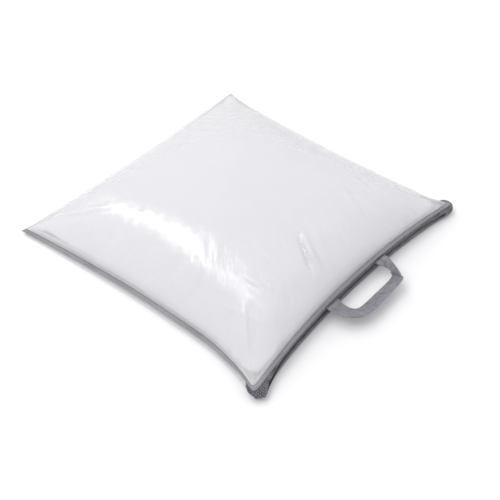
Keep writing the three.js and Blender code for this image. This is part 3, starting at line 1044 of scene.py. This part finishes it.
# part is -1 below the zip and 1 above it
def gussetPanel(name, part):
    u, v = gridPoints(gusset["columns"], gusset["rows"])
    s, t = wallCoordinates(lerp(0.03, 0.97, u))
    low, high, middle = lowerZ(s, t) + 0.0004, upperZ(s, t) - 0.0004, zipLine(s, t)
    ends = smooth(0.281, 0.268, np.abs(s) * 0.3) * (t < -0.999)
    opening = gusset["slit"] * ends
    if part < 0:
        z = lerp(low, np.maximum(middle - opening, low + 0.0005), v)
    else:
        z = lerp(np.minimum(middle + opening, high - 0.0005), high, v)
    level = (z - low) / np.maximum(high - low, 1e-5)
    topX, topY = planPoint(s, t, bag["wallInset"] + 0.0004, 0.0)
    footX, footY = planPoint(s, t, bag["wallInset"] + 0.0004, 1.0)
    x, y = topX, lerp(footY, topY, level)
    run = 0.6 * u
    wave = noiseAt(run * 1.0, z * 1.2, 28.0, 4.4) + 0.5 * noiseAt(run, z, 70.0, 7.7)
    fine = noiseAt(run, z * 0.25, 190.0, 3.1)
    inner = np.sin(np.pi * np.clip(v, 0, 1)) ** 0.6
    out = gusset["billow"] * inner * (0.35 + 0.5 * wave) + gusset["pucker"] * fine * (1 - 0.5 * inner)
    sideways, forwards = earReach(x, y, high - low, np.clip(level, 0, 1))
    folded = gusset["hem"] * np.exp(-((v - (1 if part < 0 else 0)) / 0.12) ** 2) * (ends > 0.5)
    tangentX, tangentY = np.gradient(x, axis=1), np.gradient(y, axis=1)
    length = np.hypot(tangentX, tangentY) + 1e-12
    x = x + tangentY / length * (out + 0.4 * folded) + sideways
    y = y - tangentX / length * (out + 0.4 * folded) - forwards
    points = np.stack([x, y, z], -1)
    flat = np.stack([np.broadcast_to(arcLengths(x[0], y[0]), x.shape), z], -1)
    obj = addMesh(name, points, gridFaces(*u.shape), flat)
    applyModifier(obj, "SOLIDIFY", thickness=gusset["thickness"], offset=-1.0)
    shadeSmooth(obj, 60)
    return obj


print("zip wall")
greyCloth = wovenMaterial("greyCloth", (gusset["dark"], gusset["light"]), 0.0026, 0.0036, 0.0007, 0.85,
                          diagonal=True, mottle=90.0)
lowerWall = gussetPanel("gusset_lower", -1)
upperWall = gussetPanel("gusset_upper", 1)
finishPiece(lowerWall, greyCloth, "gusset", "bag", "gusset_panel")
finishPiece(upperWall, greyCloth, "gusset", "bag")

zipper = {
    "reach": 0.274,
    "tapeReach": 0.281,
    "pitch": 0.0015,
    "toothLow": 0.00045,     # the teeth's heads, from the centre line
    "toothHigh": 0.0029,
    "toothDepth": 0.0017,
    "wire": 0.00032,
    "tapeFrom": 0.0009,
    "tapeTo": 0.0078,
    "tapeThickness": 0.0006,
    "coilLight": (0.20, 0.20, 0.21),
    "coilDark": (0.08, 0.08, 0.09),
    "metal": (0.72, 0.73, 0.74),
}


def alongZip(x, inset=0.0):
    lean = math.asin(x / wallRadius)
    origin = (x, float(frontY(x, bag["zipInset"] + inset)), bag["zipHeight"])
    along = (math.cos(lean), -math.sin(lean), 0.0)
    inwards = (math.sin(lean), math.cos(lean), 0.0)
    return origin, along, inwards, (0.0, 0.0, 1.0)


def toothUnit():
    half = (zipper["toothHigh"] - zipper["toothLow"]) / 2
    bpy.ops.object.select_all(action="DESELECT")
    bpy.ops.mesh.primitive_torus_add(major_segments=10, minor_segments=5, major_radius=half - zipper["wire"],
                                     minor_radius=zipper["wire"], rotation=(0, math.pi / 2, 0))
    unit = bpy.context.active_object
    bpy.ops.object.transform_apply(location=False, rotation=True, scale=False)
    bpy.ops.object.mode_set(mode="EDIT")
    bpy.ops.mesh.select_all(action="SELECT")
    bpy.ops.transform.resize(value=(1, zipper["toothDepth"] / (2 * half), 1))
    bpy.ops.object.mode_set(mode="OBJECT")
    return unit


def zipCoil(name, unit, side, shift):
    middle = (zipper["toothLow"] + zipper["toothHigh"]) / 2
    places = []
    for x in np.arange(-zipper["reach"] + shift, zipper["reach"], zipper["pitch"]):
        origin, along, inwards, up = alongZip(float(x), -0.0001)
        places.append(((origin[0], origin[1], origin[2] + side * middle), along, inwards, up))
    return copiesOf(name, unit, places)


def zipTape(name, side):
    u, v = gridPoints(260, 6)
    x = zipper["tapeReach"] * (2 * u - 1)
    y = frontY(x, bag["zipInset"] + 0.0002)
    rise = lerp(zipper["tapeFrom"], zipper["tapeTo"], v)
    limit = upperZ(x / bag["half"], -np.ones_like(x)) - 0.0008 - bag["zipHeight"]
    z = bag["zipHeight"] + (np.minimum(rise, limit) if side > 0 else -rise)
    obj = addMesh(name, np.stack([x, y, z], -1), gridFaces(*u.shape, flipped=side < 0), np.stack([x, z], -1))
    applyModifier(obj, "SOLIDIFY", thickness=zipper["tapeThickness"], offset=-1.0)
    shadeSmooth(obj, 60)
    return obj


def coilMaterial():
    material, tree, shader = newMaterial("zipCoil", {"Roughness": 0.38, "Specular IOR Level": 0.5})
    grain = noiseOf(tree, objectPlace(tree), 300.0, 3.0)
    connect(tree, shader, {"Base Color": twoTone(tree, grain, zipper["coilDark"], zipper["coilLight"])})
    return material


def metalMaterial():
    material, tree, shader = newMaterial("platedMetal", {"Metallic": 1.0})
    wear = noiseOf(tree, objectPlace(tree), 420.0, 5.0, {"Roughness": 0.65})
    rough = mapped(tree, wear, {"To Min": 0.16, "To Max": 0.42})
    tone = twoTone(tree, wear, dimmed(zipper["metal"], 0.75), zipper["metal"])
    dents = bumpOf(tree, wear, 0.15, 0.0002)
    connect(tree, shader, {"Roughness": rough, "Base Color": tone, "Normal": dents})
    return material


print("zip")
coilFinish = coilMaterial()
metal = metalMaterial()
oneTooth = toothUnit()
finishPiece(zipCoil("zip_teeth_upper", oneTooth, 1, 0.0), coilFinish, "coil", "bag", "zip_coil_upper")
lowerCoil = zipCoil("zip_teeth_lower", oneTooth, -1, zipper["pitch"] / 2)
finishPiece(lowerCoil, coilFinish, "coil", "bag", "zip_coil_lower")
finishPiece(zipTape("zip_band_upper", 1), greyTape, "tape", "bag", "zip_tape_upper")
finishPiece(zipTape("zip_band_lower", -1), greyTape, "tape", "bag", "zip_tape_lower")
coverNodes(metal, "zip_stop_closed_end", "zip_stop_open_end", "zip_slider", "zip_pull_tab")

# the free loop of the handle: edges of the webbing from its left end to its right end, then the sewn ends
handle = {
    "outer": [
        (-0.085, -0.2884, 0.0278), (-0.082, -0.299, 0.027), (-0.076, -0.321, 0.0265), (-0.050, -0.343, 0.027),
        (0.007, -0.345, 0.027), (0.062, -0.343, 0.027), (0.069, -0.333, 0.028), (0.084, -0.307, 0.0285),
        (0.093, -0.2884, 0.0278),
    ],
    "inner": [
        (-0.053, -0.2884, 0.0278), (-0.052, -0.294, 0.022), (-0.046, -0.309, 0.016), (-0.030, -0.317, 0.0125),
        (0.015, -0.318, 0.0115), (0.061, -0.318, 0.012), (0.070, -0.313, 0.016), (0.070, -0.299, 0.022),
        (0.063, -0.2884, 0.0278),
    ],
    "foldPlace": 0.745,      # share of the loop at which the right leg folds over the bar
    "foldLap": 0.0035,
    "foldRise": 0.0034,
    "hingeY": -0.287,
    "sewnLength": 0.011,
    "thickness": 0.0016,
    "loopSteps": 150,
    "across": 14,
    "width": 0.030,
    "ribs": 0.0042,
    "picks": 0.0030,
    "light": (0.34, 0.34, 0.38),
    "dark": (0.05, 0.05, 0.065),
}


def curveThrough(points, steps):
    points = np.array(points, float)
    padded = np.concatenate([[2 * points[0] - points[1]], points, [2 * points[-1] - points[-2]]])
    result = []
    for share in np.linspace(0, 1, steps + 1):
        # catmull-rom, with the same share of the knots on both edges
        k = min(int(share * (len(points) - 1)), len(points) - 2)
        f = share * (len(points) - 1) - k
        a, b, c, d = padded[k:k + 4]
        result.append(0.5 * (2 * b + (c - a) * f + (2 * a - 5 * b + 4 * c - d) * f ** 2
                             + (3 * b - a - 3 * c + d) * f ** 3))
    return np.array(result)


# the right leg of the loop lies over the end of the bar
def foldedEdge(line):
    share = np.linspace(0, 1, len(line))
    place = handle["foldPlace"]
    over = smooth(place - 0.006, place + 0.006, share)
    ahead = np.gradient(line, axis=0)
    ahead /= np.linalg.norm(ahead, axis=1, keepdims=True)
    lap = handle["foldLap"] * (1 - 2 * over) * np.exp(-((share - place) / 0.03) ** 2)
    lifted = line + ahead * lap[:, None]
    lifted[:, 2] += handle["foldRise"] * over * smooth(1, place, share)
    return lifted


def webbingStrap():
    outer = foldedEdge(curveThrough(handle["outer"], handle["loopSteps"]))
    inner = foldedEdge(curveThrough(handle["inner"], handle["loopSteps"]))
    sewn = np.linspace(handle["sewnLength"], 0.0012, 8)[:, None] * np.array([[0, 1, 0]])
    outer = np.concatenate([outer[0] + sewn, outer, outer[-1] + sewn[::-1]])
    inner = np.concatenate([inner[0] + sewn, inner, inner[-1] + sewn[::-1]])
    v = np.linspace(0, 1, handle["across"] + 1)
    middle = outer[:, None] * (1 - v)[None, :, None] + inner[:, None] * v[None, :, None]
    along = np.gradient(middle.mean(axis=1), axis=0)
    across = inner - outer
    upwards = np.cross(across, along)
    upwards /= np.linalg.norm(upwards, axis=1, keepdims=True)
    upwards *= np.where(upwards[:, 2:3] < 0, -1, 1)
    # the section is flat with rounded selvedges, a little thicker beside them
    profile = 1 - 0.75 * np.exp(-(np.minimum(v, 1 - v) / 0.028) ** 2)
    half = handle["thickness"] / 2 * profile
    centre = middle - upwards[:, None] * handle["thickness"] / 2
    top = centre + upwards[:, None] * half[None, :, None]
    low = centre - upwards[:, None] * half[None, :, None]
    rings = np.concatenate([top, low[:, ::-1]], axis=1)
    run = np.concatenate([[0], np.cumsum(np.linalg.norm(np.diff(middle.mean(axis=1), axis=0), axis=1))])
    acrossUv = handle["width"] * np.concatenate([v, v[::-1]])
    uvs = np.stack(np.meshgrid(acrossUv, run), -1)
    obj = bandMesh("handle_webbing", rings, uvs)
    shadeSmooth(obj, 70)
    return obj


def webbingMaterial():
    material, tree, shader = newMaterial("greyWebbing", {
        "Roughness": 0.7, "Specular IOR Level": 0.35, "Sheen Weight": 0.25, "Sheen Roughness": 0.4,
    })
    flat = addNode(tree, "ShaderNodeTexCoord").outputs["UV"]
    ribs = waveOf(tree, flat, waveSpacing / handle["ribs"], "X")
    picks = waveOf(tree, flat, waveSpacing / handle["picks"], "Y")
    relief = mathOf(tree, "MULTIPLY", ribs, picks)
    mixed = mathOf(tree, "ADD", relief, noiseOf(tree, objectPlace(tree), 110.0, 4.0))
    tone = twoTone(tree, mixed, handle["dark"], handle["light"], 0.3, 1.1)
    connect(tree, shader, {"Base Color": tone, "Normal": bumpOf(tree, relief, 0.8, 0.0004)})
    return material


print("handle")
webbing = webbingStrap()
finishPiece(webbing, webbingMaterial(), "webbing", None,
            "handle_strap", "handle_end_left", "handle_end_right")
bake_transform(webbing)
coverNodes(thread, "handle_tack_left", "handle_tack_right")

for helper in (oneStitch, oneTooth):
    bpy.data.objects.remove(helper, do_unlink=True)

print("done")
